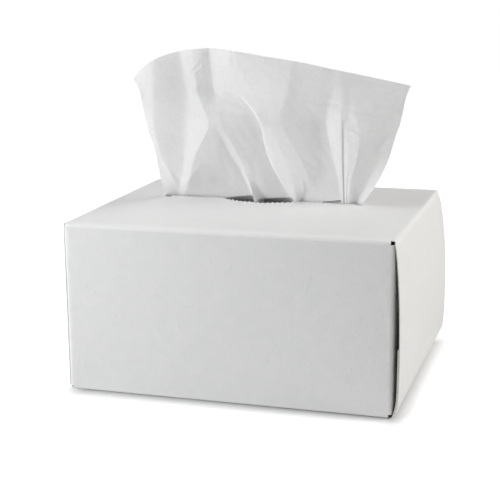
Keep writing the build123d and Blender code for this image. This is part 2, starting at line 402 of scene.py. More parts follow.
def through_points(points: Sequence[tuple[float, ...]], place: float) -> list[float]:
    """Follow a smooth curve through points.

    Args:
        points: Rows of a station and the values there, in rising order of station.
        place: The station to evaluate.

    Returns:
        The values at that station.
    """
    place = min(max(place, points[0][0]), points[-1][0])
    after = next((i for i, p in enumerate(points) if i and p[0] >= place), len(points) - 1)
    low, high = points[after - 1], points[after]
    before = points[max(after - 2, 0)]
    beyond = points[min(after + 1, len(points) - 1)]
    gap = high[0] - low[0]
    t = (place - low[0]) / gap
    found = []
    for k in range(1, len(low)):
        slope_in = (high[k] - before[k]) / (high[0] - before[0]) * gap
        slope_out = (beyond[k] - low[k]) / (beyond[0] - low[0]) * gap
        found.append(
            (2 * t**3 - 3 * t**2 + 1) * low[k] + (t**3 - 2 * t**2 + t) * slope_in
            + (3 * t**2 - 2 * t**3) * high[k] + (t**3 - t**2) * slope_out)
    return found


def select_only(pieces: Sequence[Piece]) -> None:
    """Select these pieces and nothing else, with the first one active.

    Args:
        pieces: The pieces.
    """
    bpy.ops.object.select_all(action="DESELECT")
    for piece in pieces:
        piece.select_set(True)
    bpy.context.view_layer.objects.active = pieces[0]


def grid_sheet(name: str, across: Sequence, along: Sequence, place: Callable[..., Point],
               tone: Callable[..., float] = lambda u, v: 0.0) -> Piece:
    """Add a grid and lay its points where a rule puts them.

    Args:
        name: The object's name.
        across: Stations of the grid's columns.
        along: Stations of the grid's rows.
        place: Rule from a column and a row to a point in millimetres.
        tone: Rule from a column and a row to the strength of the crease there.

    Returns:
        The grid as a mesh object at the origin.
    """
    bpy.ops.object.select_all(action="DESELECT")
    bpy.ops.mesh.primitive_grid_add(x_subdivisions=len(across) - 1, y_subdivisions=len(along) - 1, size=1)
    made = bpy.context.active_object
    made.name = made.data.name = name
    shades = made.data.attributes.new("crease", "FLOAT", "POINT")
    columns = len(across)
    for i, vertex in enumerate(made.data.vertices):
        u, v = across[i % columns], along[i // columns]
        vertex.co = Vector(place(u, v)) * MM
        shades.data[i].value = tone(u, v)
    return made


def join_sheets(sheets: Sequence[Piece], name: str, weld: float = 0.02) -> Piece:
    """Join sheets into one mesh and weld the edges that they share.

    Args:
        sheets: The mesh objects.
        name: The joined object's name.
        weld: Distance within which points merge, in millimetres.

    Returns:
        The joined object.
    """
    select_only(sheets)
    bpy.ops.object.join()
    joined = bpy.context.active_object
    joined.name = joined.data.name = name
    bpy.ops.object.mode_set(mode="EDIT")
    bpy.ops.mesh.select_all(action="SELECT")
    bpy.ops.mesh.remove_doubles(threshold=weld * MM)
    bpy.ops.object.mode_set(mode="OBJECT")
    return joined


def thicken(piece: Piece, thickness: float, offset: float, materials: Sequence[bpy.types.Material]) -> None:
    """Dress a sheet and give it its thickness.

    Args:
        piece: The sheet.
        thickness: Its thickness in millimetres.
        offset: -1 where the sheet is the outer face, and 0 where it is the middle.
        materials: One for all of it, or one each for the outside, the inside and the cut edges.
    """
    for material in materials:
        piece.data.materials.append(material)
    walls = piece.modifiers.new("thickness", "SOLIDIFY")
    walls.thickness = thickness * MM
    walls.offset = offset
    walls.material_offset = min(len(materials) - 1, 1)
    walls.material_offset_rim = len(materials) - 1
    select_only([piece])
    bpy.ops.object.modifier_apply(modifier=walls.name)


def smooth_shade(piece: Piece, angle: float) -> None:
    """Shade a piece smooth, with edges sharper than an angle in degrees left crisp."""
    select_only([piece])
    bpy.ops.object.shade_smooth_by_angle(angle=math.radians(angle))


@dataclass
class Carton:
    """One die-cut sheet of white board, creased, folded and glued into a closed box."""

    length: float = 216.6
    depth: float = 178.0
    height: float = 112.0
    board: float = 0.6
    fold_radius: float = 2.3
    glue_line: float = 0.2
    flap_gap: float = 0.2
    lap_height: float = 15.0
    rear_edge_lift: float = 0.8
    # The top panel's rise along the slot: full over one share of its half length, fading over another.
    top_rise: float = 4.0
    rise_fullness: float = 0.28
    rise_level: float = 0.58
    rise_fade: float = 0.42
    # The torn slot and the teeth of its perforation.
    slot_length: float = 141.0
    slot_arm_width: float = 4.8
    slot_eye_width: float = 21.6
    slot_eye_length: float = 54.0
    tooth_pitch: float = 3.2
    tooth_depth: float = 0.9
    tooth_lift: float = 0.7
    tooth_point: float = 1.3
    tooth_average: float = 0.75
    tooth_spread: float = 0.5
    tooth_shift: float = 0.37
    torn_edge: float = 0.12
    torn_rate: float = 0.9
    torn_lanes: Pair = (3.7, 1.1)
    lip_reach: float = 6.0
    lip_flutter: float = 0.28
    flutter_length: float = 11.0
    flutter_lanes: Pair = (2.0, 0.3)
    # The standing panels' dish and waves, inwards.
    panel_dish: float = 0.35
    panel_wave: float = 0.55
    panel_fade: float = 0.7
    wave_length: float = 70.0
    wave_height: float = 55.0
    front_lane: float = 4.0
    rear_lane: float = 9.0
    # The end flaps: how far they bow out, how they ripple and where their edges are.
    front_bow: float = 3.6
    front_bow_left: float = 0.2
    rear_bow: float = 6.8
    bow_at_base: float = 0.33
    bow_shape: tuple[Pair, ...] = (
        (0.08, 0.78), (0.18, 0.94), (0.40, 1.0), (0.62, 0.88), (0.82, 0.56), (0.92, 0.29))
    end_fold_power: float = 0.6
    ripple: float = 0.25
    ripple_length: float = 45.0
    ripple_height: float = 40.0
    ripple_lane: float = 7.0
    free_edge_height: float = 14.0
    free_edge_share: float = 0.5
    inner_flap_height: float = 44.0
    flap_side_relief: float = 0.6
    front_relief_left: float = 1.9
    dust_flap_length: float = 60.0
    dust_flap_margin: float = 2.5
    dust_flap_taper: float = 9.0
    # How finely each part is laid.
    fold_steps: int = 6
    lap_steps: int = 3
    bottom_steps: int = 12
    wall_steps: int = 16
    top_steps: int = 15
    lip_crowding: float = 1.25
    steps_per_tooth: int = 4
    slot_end_steps: int = 5
    panel_end_steps: int = 14
    outer_flap_steps: int = 40
    inner_flap_steps: int = 14
    dust_flap_steps: int = 10
    shade_angle: float = 38.0
    board_outside: CoatedBoard = CoatedBoard()
    board_inside: RawBoard = RawBoard("board_uncoated_inside", "#E6E5E1", "#D8D6D0")
    board_edge: RawBoard = RawBoard("board_cut_edge", "#E9E8E5", "#D6D4CF")

    @property
    def half_length(self) -> float:
        """Half the length over the end flaps' creases."""
        return self.length / 2

    @property
    def half_depth(self) -> float:
        """Half the depth over the front and rear panels."""
        return self.depth / 2

    @property
    def tube_half(self) -> float:
        """Half the length of the four panels between their end creases."""
        return self.half_length - self.board - self.flap_gap - self.fold_radius

    @property
    def crease_y(self) -> float:
        """Where the top panel meets its long folds."""
        return self.half_depth - self.fold_radius

    def eye_half_width(self, x: float) -> float:
        """Measure the slot without its teeth.

        Args:
            x: Station along the slot.

        Returns:
            Half its width there, and 0 past its ends.
        """
        arm = self.slot_arm_width / 2
        end = self.slot_length / 2
        if abs(x) >= end:
            return 0.0
        if abs(x) > end - arm:
            return math.sqrt(max(arm**2 - (abs(x) - end + arm) ** 2, 0.0))
        chord = self.slot_eye_length / 2
        if abs(x) >= chord:
            return arm
        rise = self.slot_eye_width / 2 - arm
        radius = (chord**2 + rise**2) / (2 * rise)
        return arm + rise - radius + math.sqrt(radius**2 - x**2)

    def tooth(self, x: float) -> float:
        """Measure the perforation's teeth, uneven as torn board is.

        Args:
            x: Station along the slot.

        Returns:
            How far a tooth stands into the slot there.
        """
        reach = self.slot_length / 2 - self.slot_arm_width
        if abs(x) > reach:
            return 0.0
        phase = abs((x / self.tooth_pitch) % 1.0 - 0.5) * 2
        torn = uneven(x * self.torn_rate, *self.torn_lanes)
        point = smooth(phase * self.tooth_point) * (self.tooth_average + self.tooth_spread * torn)
        return self.tooth_depth * (point + self.torn_edge * torn)

    def roof(self, x: float, y: float) -> float:
        """Measure the top panel, which the drawn tissue has pushed up along the slot.

        Args:
            x: Station along the carton.
            y: Station across it.

        Returns:
            The panel's height there.
        """
        across = 1 - abs(y) / self.crease_y
        hump = across * (1 + self.rise_fullness - self.rise_fullness * across)
        ends = 1 - smooth((abs(x) - self.rise_level * self.tube_half) / (self.rise_fade * self.tube_half))
        return self.height + self.top_rise * hump * ends

    def columns(self) -> list[float]:
        """List stations along the carton.

        Returns:
            Stations fine enough along the slot to draw each tooth.
        """
        end = self.slot_length / 2
        arm = self.slot_arm_width / 2
        turns = [0.5 * math.pi * i / self.slot_end_steps for i in range(self.slot_end_steps + 1)]
        tips = [end - arm * (1 - math.cos(turn)) for turn in turns]
        run = end - arm
        inner = spaced(-run, run, round(2 * run * self.steps_per_tooth / self.tooth_pitch))[1:-1]
        outer = spaced(end, self.tube_half, self.panel_end_steps)[1:]
        return sorted({*inner, *tips, *(-t for t in tips), *outer, *(-x for x in outer)})

    def top_rows(self) -> list[float]:
        """Shares of the way from a long crease to the slot, closer together near the slot."""
        return [1 - (1 - v) ** self.lip_crowding for v in spaced(0, 1, self.top_steps)]

    def bottom_rows(self) -> list[float]:
        """Stations across the bottom panel, from its rear crease to its front one."""
        rear = self.half_depth - self.board - self.glue_line - self.fold_radius
        return spaced(rear, -self.crease_y, self.bottom_steps)

    def wall_rows(self) -> list[float]:
        """Heights up a long panel, with one at each dust flap's margin."""
        inner = spaced(self.dust_flap_margin, self.height - self.dust_flap_margin, self.wall_steps)
        return [self.fold_radius, *inner, self.height - self.fold_radius]

    def fold_rows(self, part: str = "fold") -> list[Row]:
        """Rows round a fold, as the part's name and the share of its quarter turn."""
        return [(part, v) for v in spaced(0, 1, self.fold_steps)]

    def front_rows(self) -> list[Row]:
        """List the rows of the tube's near part.

        Returns:
            The part and the place on it, from the glue lap under the carton to the slot's near lip.
        """
        return [
            *(("lap", v) for v in spaced(self.lap_height, self.fold_radius, self.lap_steps)[:-1]),
            *self.fold_rows("lap_fold"),
            *(("bottom", v) for v in self.bottom_rows()[1:-1]),
            *self.fold_rows("front_base_fold"),
            *(("front", v) for v in self.wall_rows()[1:-1]),
            *self.fold_rows("front_top_fold"),
            *(("near", v) for v in self.top_rows()[1:]),
        ]

    def rear_rows(self) -> list[Row]:
        """List the rows of the tube's far part.

        Returns:
            The part and the place on it, from the slot's far lip to the rear panel's free edge.
        """
        return [
            *(("far", v) for v in self.top_rows()[:0:-1]),
            *self.fold_rows("rear_top_fold"),
            *(("rear", z) for z in [*self.wall_rows()[-2:0:-1], self.rear_edge_lift]),
        ]

    def quarter(self, share: float) -> Pair:
        """Sine and cosine of a share of a fold's quarter turn, times the fold's radius."""
        turn = 0.5 * math.pi * share
        return self.fold_radius * math.sin(turn), self.fold_radius * math.cos(turn)

    def panel_bend(self, x: float, z: float, face: Face) -> float:
        """Measure the slight dish and waves of a standing panel.

        Args:
            x: Station along the carton.
            z: Height up the panel.
            face: Which long side.

        Returns:
            How far inwards the panel lies there, which is 0 at its folds.
        """
        across = math.sin(math.pi * min(max(z / self.height, 0), 1))
        along = math.cos(0.5 * math.pi * x / self.half_length) ** self.panel_fade
        lane = self.front_lane if face is Face.FRONT else self.rear_lane
        wave = uneven(x / self.wave_length, z / self.wave_height, lane)
        return across * along * max(self.panel_dish + self.panel_wave * wave, 0.0)

    def tube_point(self, x: float, row: Row) -> Point:
        """Place a point of the tube that the long panels make.

        Args:
            x: Station along the carton.
            row: The part of the tube and the place on it.

        Returns:
            The point in millimetres.
        """
        part, v = row
        r = self.fold_radius
        lap = self.half_depth - self.board - self.glue_line
        sine, cosine = self.quarter(v)
        if part == "lap":
            return x, lap, v
        if part == "lap_fold":
            return x, lap - r + cosine, r - sine
        if part == "bottom":
            return x, v, 0.0
        if part == "front_base_fold":
            return x, -self.crease_y - sine, r - cosine
        if part == "front":
            return x, -self.half_depth + self.panel_bend(x, v, Face.FRONT), v
        if part == "front_top_fold":
            return x, -self.crease_y - cosine, self.height - r + sine
        if part == "near":
            return self.top_point(x, v, Face.FRONT)
        if part == "far":
            return self.top_point(x, v, Face.REAR)
        if part == "rear_top_fold":
            return x, self.crease_y + sine, self.height - r + cosine
        return x, self.half_depth - self.panel_bend(x, v, Face.REAR), v

    def top_point(self, x: float, share: float, face: Face) -> Point:
        """Place a point of the top panel.

        Args:
            x: Station along the carton.
            share: Share of the way from the long crease to the slot.
            face: Which half of the panel.

        Returns:
            The point in millimetres.
        """
        lip = self.eye_half_width(x)
        reach = self.crease_y + (lip - self.crease_y) * share
        tip = min(self.tooth(x + self.tooth_shift * face.value), lip) if share >= 1.0 else 0.0
        y = face.value * (reach - tip)
        near_lip = smooth(1 - (abs(y) - lip) / self.lip_reach) if lip else 0.0
        half, lane = self.flutter_lanes
        flutter = self.lip_flutter * near_lip * uneven(x / self.flutter_length, half * face.value, lane)
        return x, y, self.roof(x, y) + flutter + self.tooth_lift * tip

    def bow_profile(self, bow: float) -> list[Pair]:
        """List the points of an end flap's bow.

        Args:
            bow: How far the flap bows out at its fullest.

        Returns:
            Rows of height and reach, from the flap's foot to its fold.
        """
        rows = [(self.fold_radius, self.half_length + bow * self.bow_at_base)]
        rows += [(level * self.height, self.half_length + bow * share) for level, share in self.bow_shape]
        return rows + [(self.height - self.fold_radius, self.half_length)]

    def flap_reach(self, side: Side, y: float, z: float, inset: float) -> float:
        """Measure how far out an end flap stands.

        Args:
            side: Which end.
            y: Station across the flap.
            z: Height up the flap.
            inset: How far inside the outer flap's face.

        Returns:
            The distance from the carton's middle.
        """
        share = (y / self.half_depth + 1) / 2
        front_bow = self.front_bow if side is Side.RIGHT else self.front_bow_left
        front = through_points(self.bow_profile(front_bow), z)[0]
        rear = through_points(self.bow_profile(self.rear_bow), z)[0]
        return front + (rear - front) * share - inset

    def flap_place(self, side: Side, y: float) -> float:
        """Place across an end flap for a station of the tube, with the relief at the flap's edge."""
        relief = self.front_relief_left if side is Side.LEFT and y < 0 else self.flap_side_relief
        return y * (self.half_depth - relief) / self.crease_y

    def fold_wear_and_highlight_tone(self, station: float, row: Row) -> float:
        """Strength of the folds' whiter tone on a row, partly the creased coating's whitening and partly a
        painted highlight: full on a fold.
        """
        return 1.0 if row[0].endswith("fold") else 0.0

    def outer_flap(self, side: Side) -> Piece:
        """Build one outer end flap with its fold from the top panel.

        Args:
            side: Which end.

        Returns:
            The flap, still to be welded.
        """
        near = [-self.crease_y * (1 - s) for s in self.top_rows()]
        across = near[:-1] + [-y for y in reversed(near)]
        r = self.fold_radius
        rows = [("flap", z) for z in spaced(r, self.height - r, self.outer_flap_steps)[:-1]]
        rows += [*self.fold_rows(), ("bridge", 0.5), ("bridge", 1.0)]

        def place(y: float, row: Row) -> Point:
            """Place a point of the flap.

            Args:
                y: Station across the tube.
                row: The part of the flap and the place on it.

            Returns:
                The point in millimetres.
            """
            part, v = row
            wide_y = self.flap_place(side, y)
            if part == "flap":
                ripple = self.ripple * uneven(
                    wide_y / self.ripple_length, v / self.ripple_height, self.ripple_lane + side.value)
                free = self.free_edge_share * smooth(1 - v / self.free_edge_height)
                x = self.flap_reach(side, wide_y, v, 0) + min(ripple, 0) - free * max(ripple, 0)
                return side.value * x, wide_y, v
            if part == "fold":
                turn = 0.5 * math.pi * v
                x = self.half_length - r + r * math.cos(turn) ** self.end_fold_power
                z = self.height - r + r * math.sin(turn) ** self.end_fold_power
                return side.value * x, y + (wide_y - y) * (1 - v), z
            x = self.half_length - r + (self.tube_half - self.half_length + r) * v
            return side.value * x, y, self.height

        return grid_sheet("outer_flap", across[::side.value], rows, place, self.fold_wear_and_highlight_tone)

    def inner_flap(self, side: Side) -> Piece:
        """Build one short inner end flap with its fold from the bottom panel.

        Args:
            side: Which end.

        Returns:
            The flap, still to be welded.
        """
        r = self.fold_radius
        inset = self.board + self.glue_line
        rows = [("bridge", 0.0), ("bridge", 1.0), *self.fold_rows()[1:]]
        rows += [("flap", z) for z in spaced(r, self.inner_flap_height, self.inner_flap_steps)[1:]]

        def place(y: float, row: Row) -> Point:
            """Place a point of the flap.

            Args:
                y: Station across the tube.
                row: The part of the flap and the place on it.

            Returns:
                The point in millimetres.
            """
            part, v = row
            wide_y = self.flap_place(side, y)
            centre = self.flap_reach(side, wide_y, r, inset) - r
            if part == "bridge":
                x = self.tube_half + (centre - self.tube_half) * v
                return side.value * x, y + (wide_y - y) * v, 0.0
            if part == "fold":
                sine, cosine = self.quarter(v)
                return side.value * (centre + sine), wide_y, r - cosine
            return side.value * self.flap_reach(side, wide_y, v, inset), wide_y, v

        return grid_sheet("inner_flap", self.bottom_rows()[::-side.value], rows, place, self.fold_wear_and_highlight_tone)

    def dust_flap(self, side: Side, face: Face) -> Piece:
        """Build one dust flap with its fold from a long panel.

        Args:
            side: Which end.
            face: Which long side.

        Returns:
            The flap, still to be welded.
        """
        r = self.fold_radius
        low, high = self.dust_flap_margin, self.height - self.dust_flap_margin
        middle = (low + high) / 2
        levels = self.wall_rows()[1:-1][::side.value * face.value]
        rows = self.fold_rows() + [("tongue", v) for v in spaced(0, 1, self.dust_flap_steps)[1:]]

        def place(z: float, row: Row) -> Point:
            """Place a point of the flap.

            Args:
                z: Height up the long panel.
                row: The part of the flap and the place on it.

            Returns:
                The point in millimetres.
            """
            part, v = row
            if part == "fold":
                sine, cosine = self.quarter(v)
                y = self.half_depth - self.panel_bend(self.tube_half, z, face) - r + cosine
                return side.value * (self.tube_half + sine), face.value * y, z
            taper = (high - low - 2 * self.dust_flap_taper * v) / (high - low)
            y = self.half_depth - r - (self.dust_flap_length - r) * v
            return side.value * (self.tube_half + r), face.value * y, middle + (z - middle) * taper

        return grid_sheet("dust_flap", levels, rows, place, self.fold_wear_and_highlight_tone)

    def closed_corner(self) -> Piece:
        """Round off the top's front left corner, whose three folds meet closed.

        Returns:
            The corner, still to be welded.
        """
        def place(a: float, b: float) -> Point:
            """Place a point of the corner.

            Args:
                a: Share of the turn round the end.
                b: Share of the turn over the top.

            Returns:
                The point in millimetres.
            """
            out, near = self.quarter(a)
            lift = 0.5 * math.pi * b
            return (-self.tube_half - out, -self.crease_y - near * math.cos(lift),
                    self.height - self.fold_radius + near * math.sin(lift))

        arc = spaced(0, 1, self.fold_steps)
        # The whole corner takes the folds' whiter tone, which is partly a painted highlight.
        return grid_sheet("closed_corner", arc[::-1], arc, place, lambda a, b: 1.0)

    def build(self) -> Piece:
        """Build the whole folded sheet, weld it, give it its thickness and dress it.

        Returns:
            The finished carton, which stands for the carton's own node.
        """
        sheets = [
            grid_sheet("tube", self.columns(), rows, self.tube_point, self.fold_wear_and_highlight_tone)
            for rows in (self.front_rows(), self.rear_rows())
        ]
        for side in Side:
            sheets += [self.outer_flap(side), self.inner_flap(side)]
            sheets += [self.dust_flap(side, face) for face in Face]
        piece = join_sheets([*sheets, self.closed_corner()], "carton_board")
        finishes = (self.board_outside, self.board_inside, self.board_edge)
        thicken(piece, self.board, -1, [finish.build() for finish in finishes])
        smooth_shade(piece, self.shade_angle)
        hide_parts("carton")
        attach(piece, "root")
        return piece


@dataclass(frozen=True)
class Fold:
    """One fold line of the drawn tissue, from the slot to its free edge.

    Each pair of the line is a place along and across the slot, at the heights that DrawnTissue.levels names,
    and the last pair is on the free edge. Crisp is 0 for a soft wave and 1 for a creased fold.
    """

    name: str
    crisp: float
    line: tuple[Pair, ...]


@dataclass(frozen=True)
class Crumple:
    """A small crease across the folds, from one place to another on the sheet's face."""

    start: Pair
    end: Pair
    lift: float
    width: float
    fade: float = 4.0
    sharpness: float = 1.5

    def depth(self, place: Vector) -> float:
        """Measure how far the crease moves the sheet.

        Args:
            place: Place on the sheet's face, along it and up.

        Returns:
            The move across the sheet there.
        """
        start = Vector(self.start)
        along = Vector(self.end) - start
        t = (place - start).dot(along) / along.length_squared
        faded = smooth(self.fade * t) * smooth(self.fade * (1 - t))
        away = (place - start - along * t).length / self.width
        return self.lift * faded * max(1 - away, 0) ** self.sharpness


@dataclass(frozen=True)
class Unevenness:
    """The paper's own soft waves: how deep, how long along and up the sheet, and their lane."""

    depth: float
    along: float
    up: float
    lane: float

    def at(self, x: float, h: float) -> float:
        """Depth of the waves at a place on the sheet's face."""
        return self.depth * uneven(x / self.along, h / self.up, self.lane)


@dataclass(frozen=True)
class Gap:
    """A stretch of the slot where the tissue turns back to the far lip, leaving a dark gap under its hem."""

    start: float
    end: float
    hem_start: float
    hem_end: float
    closing: float = 1.2

    def share(self, x: float) -> float:
        """How open the gap is at a place along the slot."""
        return smooth((x - self.start) / self.closing) * smooth((self.end - x) / self.closing)

    def hem(self, x: float) -> float:
        """Height of the tissue's hem over the slot at a place along it."""
        share = min(max((x - self.start) / (self.end - self.start), 0.0), 1.0)
        return self.hem_start + (self.hem_end - self.hem_start) * share


@dataclass
class DrawnTissue:
    """The first tissue: lies on the pack, gathers in the slot and fans out above it."""

    carton: Carton = field(default_factory=Carton)
    sheet_width: float = 203.0
    sheet_depth: float = 210.0
    thickness: float = 0.12
    # Its hidden part, on the pack and up to the slot.
    pack_top: float = 93.6
    clearance: float = 0.4
    lying_depth: float = 74.0
    gather_depth: float = 9.0
    # Its hem at the slot, with the dark gaps below it.
    lip_clearance: float = 0.9
    hem_turn: float = 1.4
    retreat: float = 7.0
    retreat_depth: float = 5.0
    # How finely it is laid: its columns, then its rows from the pack up to the free edge.
    step: float = 1.1
    least_steps: int = 4
    lying_steps: int = 12
    gather_steps: int = 22
    hem_share: float = 0.03
    hem_steps: int = 12
    open_steps: int = 104
    # How its folds are rounded, each row that many times.
    round_passes: int = 14
    round_weight: float = 0.5
    crisp_weight: float = 0.46
    round_from: float = 0.55
    crease_reach: float = 3.0
    shade_angle: float = 60.0
    # The paper's own unevenness, which starts above the slot.
    waves: tuple[Unevenness, ...] = (Unevenness(0.42, 15.0, 22.0, 1.7), Unevenness(0.14, 6.0, 8.0, 5.2))
    ridges: Unevenness = Unevenness(0.34, 9.0, 14.0, 8.8)
    ridge_slant: float = 22.0
    ridge_level: float = 0.25
    uneven_start: float = 9.0
    finish: TissuePaper = TissuePaper()
    # Heights over the slot for the folds' places, then the free edge's places along the slot and up.
    levels: tuple[float, ...] = (0.0, 14.0, 30.0, 46.0, 54.0, 62.0, 73.0)
    free_edge: tuple[Pair, ...] = (
        (-92.5, 80.8), (-87.5, 86.6), (-82.4, 90.3), (-76, 94), (-69.8, 96.9), (-55.9, 100.4),
        (-36.5, 102.2), (-15.4, 100.5), (7.9, 97.1), (26.8, 94.4), (51.2, 89.4), (79.2, 83.7), (101, 79.2))
    folds: tuple[Fold, ...] = (
        Fold("edge_left", 1, ((-70, 0), (-73, -3), (-77, -0.5), (-82.5, 1),
             (-85, 2), (-86.5, 2), (-88, 0.5), (-93.5, 3))),
        Fold("left_lobe", 0.3, ((-67, 0.5), (-65, -5), (-72.5, -2.5), (-77, -1.5),
             (-78, -1), (-77.5, -1), (-77, -2.5), (-76.5, -2))),
        Fold("left_hollow", 0.1, ((-61.5, 1), (-56.5, -4.5), (-55, -1), (-54.5, 1),
             (-54, 2), (-54, 2.5), (-55, 2.5), (-60, 2.5))),
        Fold("tall_ridge", 1, ((-56.5, 0), (-49.5, -7.5), (-46, -5), (-37.5, -5.5),
             (-36.5, -4.5), (-41.5, -1), (-46, 1), (-49, -0.5))),
        Fold("lean", 0, ((-28, 1), (-23, 0.5), (-31.5, -2.5), (-33, -5),
             (-33.5, -4.5), (-36.5, -0.5), (-40, 2.5), (-42.5, -1))),
        Fold("pocket", 0.7, ((-5.5, 1), (-13, 2), (-22, 0), (-29, -4.5),
             (-31, -4.5), (-31.5, -0.5), (-34.5, 4), (-36.5, 0.5))),
        Fold("thin_ridge", 0.9, ((-3, -8.5), (-10, 0), (-16.5, -1), (-24.5, -4.5),
             (-27.5, -4.5), (-27, -0.5), (-23.5, 2), (-20.5, -4.5))),
        Fold("pleat_back", 0.5, ((-0.5, 0.5), (-6, 0.5), (-13, -0.5), (-21.5, -4),
             (-25, -4), (-24.5, -0.5), (-21, 1.5), (-20, -4.5))),
        Fold("lap_hollow", 1, ((21.8, 1), (11.9, 2.5), (3.9, 2.5), (0.7, 0.5),
             (-1.2, -0.5), (-6.2, -1), (-16.3, 0.5), (-18.9, -4.5))),
        Fold("lap_edge", 1, ((22.5, -1.5), (12.8, 1), (4.6, 1.5), (1.4, -1.5),
             (-0.3, -3.5), (-4.9, -3), (-14.6, 0), (-17.4, -5))),
        Fold("lap_crest", 0.3, ((24.5, -3.5), (22, -1.5), (17, -2), (9.5, -3),
             (5.5, -3.5), (0.5, -3.5), (-7.5, -1.5), (-13, -5.5))),
        Fold("wedge_left", 0.6, ((28.5, 1), (33.5, -1.5), (27.5, -2.5), (18, -3.5),
             (14.5, -4), (14.5, -5.5), (19.5, -5.5), (21.5, -6))),
        Fold("wedge_right", 0.6, ((42, -0.5), (41.5, -0.5), (41.5, 0.5), (40.5, 2),
             (37.5, 1.5), (29, -2), (26, -4), (25.5, -5.5))),
        Fold("strip_start", 0.6, ((54.5, -1), (53.5, 0), (49.5, 1), (45.5, 2.5),
             (44.5, 2.5), (46, 0), (49, -1.5), (48, -3.5))),
        Fold("strip_crest", 1, ((57.2, -1.5), (56.6, -1.5), (56.2, -2), (55.9, -2.5),
             (55.7, -2.5), (55.3, -3), (53.6, -2.5), (53.1, -2.5))),
        Fold("crease", 0.9, ((58, -0.5), (57.4, -0.5), (57.2, -1), (57.1, -1.5),
             (57, -2), (56.7, -3), (55.8, -3), (55.7, -3))),
        Fold("twin_first", 0.7, ((59, -1.5), (59.1, -2), (60.7, -3), (60.2, -3),
             (59.1, -2), (58.7, -3), (59.5, -2), (60.3, -1.5))),
        Fold("twin_gap", 0.7, ((59.5, -1), (59.7, -1.5), (61.6, -3), (61.5, -3),
             (60.4, -2), (60.1, -2.5), (60.8, -1.5), (61.6, -1.5))),
        Fold("twin_second", 0.8, ((60.5, -1), (61.5, -2.5), (66.5, -4), (68, -4.5),
             (67, -3.5), (65.5, -3), (64, -1.5), (64, -1))),
        Fold("band_start", 0.2, ((61.5, -1), (63, -2.5), (67.5, -3.5), (73, -4),
             (75.5, -3), (76.5, -2.5), (77.5, 0), (77.5, 1))),
        Fold("band_end", 0.3, ((66, 1), (73.5, 0), (81, -0.5), (87, -0.5),
             (90, 0.5), (92.5, 1.5), (95.5, 1.5), (96.5, 2.5))),
        Fold("edge_right", 1, ((70, -0.5), (79.5, -3), (87, -1.5), (91.5, 0),
             (94, 1), (95.5, 2.5), (98, 1.5), (100.5, 2.5))),
    )
    crumples: tuple[Crumple, ...] = (
        Crumple((-52.5, 85), (-42.5, 94.5), -0.55, 1.6),
        Crumple((-49.5, 83.5), (-39.5, 92), -0.45, 1.5),
        Crumple((-52, 72), (-44, 77), -0.4, 2.5),
        Crumple((-34, 75.5), (-17, 71), 0.45, 2.4),
        Crumple((-28, 66), (-8, 59), -0.35, 3.5),
        Crumple((34, 66), (47, 64.5), -0.35, 2.2),
        Crumple((42, 69), (56, 66), 0.35, 2.6),
        Crumple((61, 66), (78, 60), -0.5, 2),
        Crumple((66, 57), (84, 62), 0.35, 3),
        Crumple((60, 50), (72, 44), -0.45, 2.4),
        Crumple((24, 34), (40, 22), 0.35, 4.5),
        Crumple((28.5, 17), (30.5, 3), -0.5, 2),
        Crumple((34, 9), (52, 5), 0.4, 3),
        Crumple((-50, 10), (-30, 3), 0.4, 3.5),
        Crumple((-40, 26), (-56, 6), -0.5, 3),
        Crumple((-66, 20), (-58.5, 5), -0.5, 2.2),
        Crumple((-76, 30), (-67, 14), 0.35, 3),
        Crumple((-84, 62), (-70, 70), 0.35, 4),
        Crumple((0, 44), (12, 28), -0.35, 3),
        Crumple((-20, 30), (-12, 16), 0.3, 3),
        Crumple((78, 34), (88, 46), 0.4, 3),
    )
    gaps: tuple[Gap, ...] = (
        Gap(-70, -65.5, 0.8, 0.4),
        Gap(-27, -4.6, 0.2, 2.8),
        Gap(-2.4, 22.2, 0.6, 2.4),
        Gap(43, 56.2, 0.8, 2.8),
    )

    @property
    def slot_level(self) -> float:
        """Height of the raised slot's middle line."""
        return self.carton.height + self.carton.top_rise

    def through_slot(self, x: float, y: float, height: float) -> float:
        """Turn the sheet back to the slot's far lip beside each gap, and further back under the top panel.

        Args:
            x: Place along the slot.
            y: Place across it that the folds give.
            height: Height above the slot.

        Returns:
            The place across the slot.
        """
        far = max(self.carton.eye_half_width(x) - self.lip_clearance, y)
        turned = max(gap.share(x) * smooth((gap.hem(x) - height) / self.hem_turn) for gap in self.gaps)
        behind = self.retreat * smooth(-(height + self.carton.board) / self.retreat_depth)
        return y + (far - y) * turned + behind

    def stations(self) -> list[float]:
        """List the sheet's columns.

        Returns:
            Fold number plus share, spaced by the widest gap between each two folds.
        """
        columns = []
        for i, (one, two) in enumerate(zip(self.folds, self.folds[1:])):
            gap = max(math.dist(a, b) for a, b in zip(one.line, two.line))
            steps = max(self.least_steps, math.ceil(gap / self.step))
            columns += [i + k / steps for k in range(steps)]
        return columns + [float(len(self.folds) - 1)]

    def rises(self) -> list[float]:
        """List the sheet's rows.

        Returns:
            Shares: -2 to -1 lying on the pack, -1 to 0 up to the slot, 0 to 1 above it.
        """
        gather = [-((1 - i / self.gather_steps) ** 2) for i in range(self.gather_steps)]
        return (
            spaced(-2, -1, self.lying_steps)[:-1] + gather + spaced(0, self.hem_share, self.hem_steps)[:-1]
            + spaced(self.hem_share, 1, self.open_steps))

    def rim_height(self, x: float) -> float:
        """Height of the free edge above the slot."""
        return through_points(self.free_edge, x)[0]

    def fold_at(self, fold: Fold, rise: float) -> list[float]:
        """Follow a fold line up to its place on the free edge.

        Args:
            fold: The fold.
            rise: Share of the way from the slot to the free edge.

        Returns:
            The place along and across the slot.
        """
        edge = self.rim_height(fold.line[-1][0])
        rows = [(h, *pair) for h, pair in zip(self.levels, fold.line)]
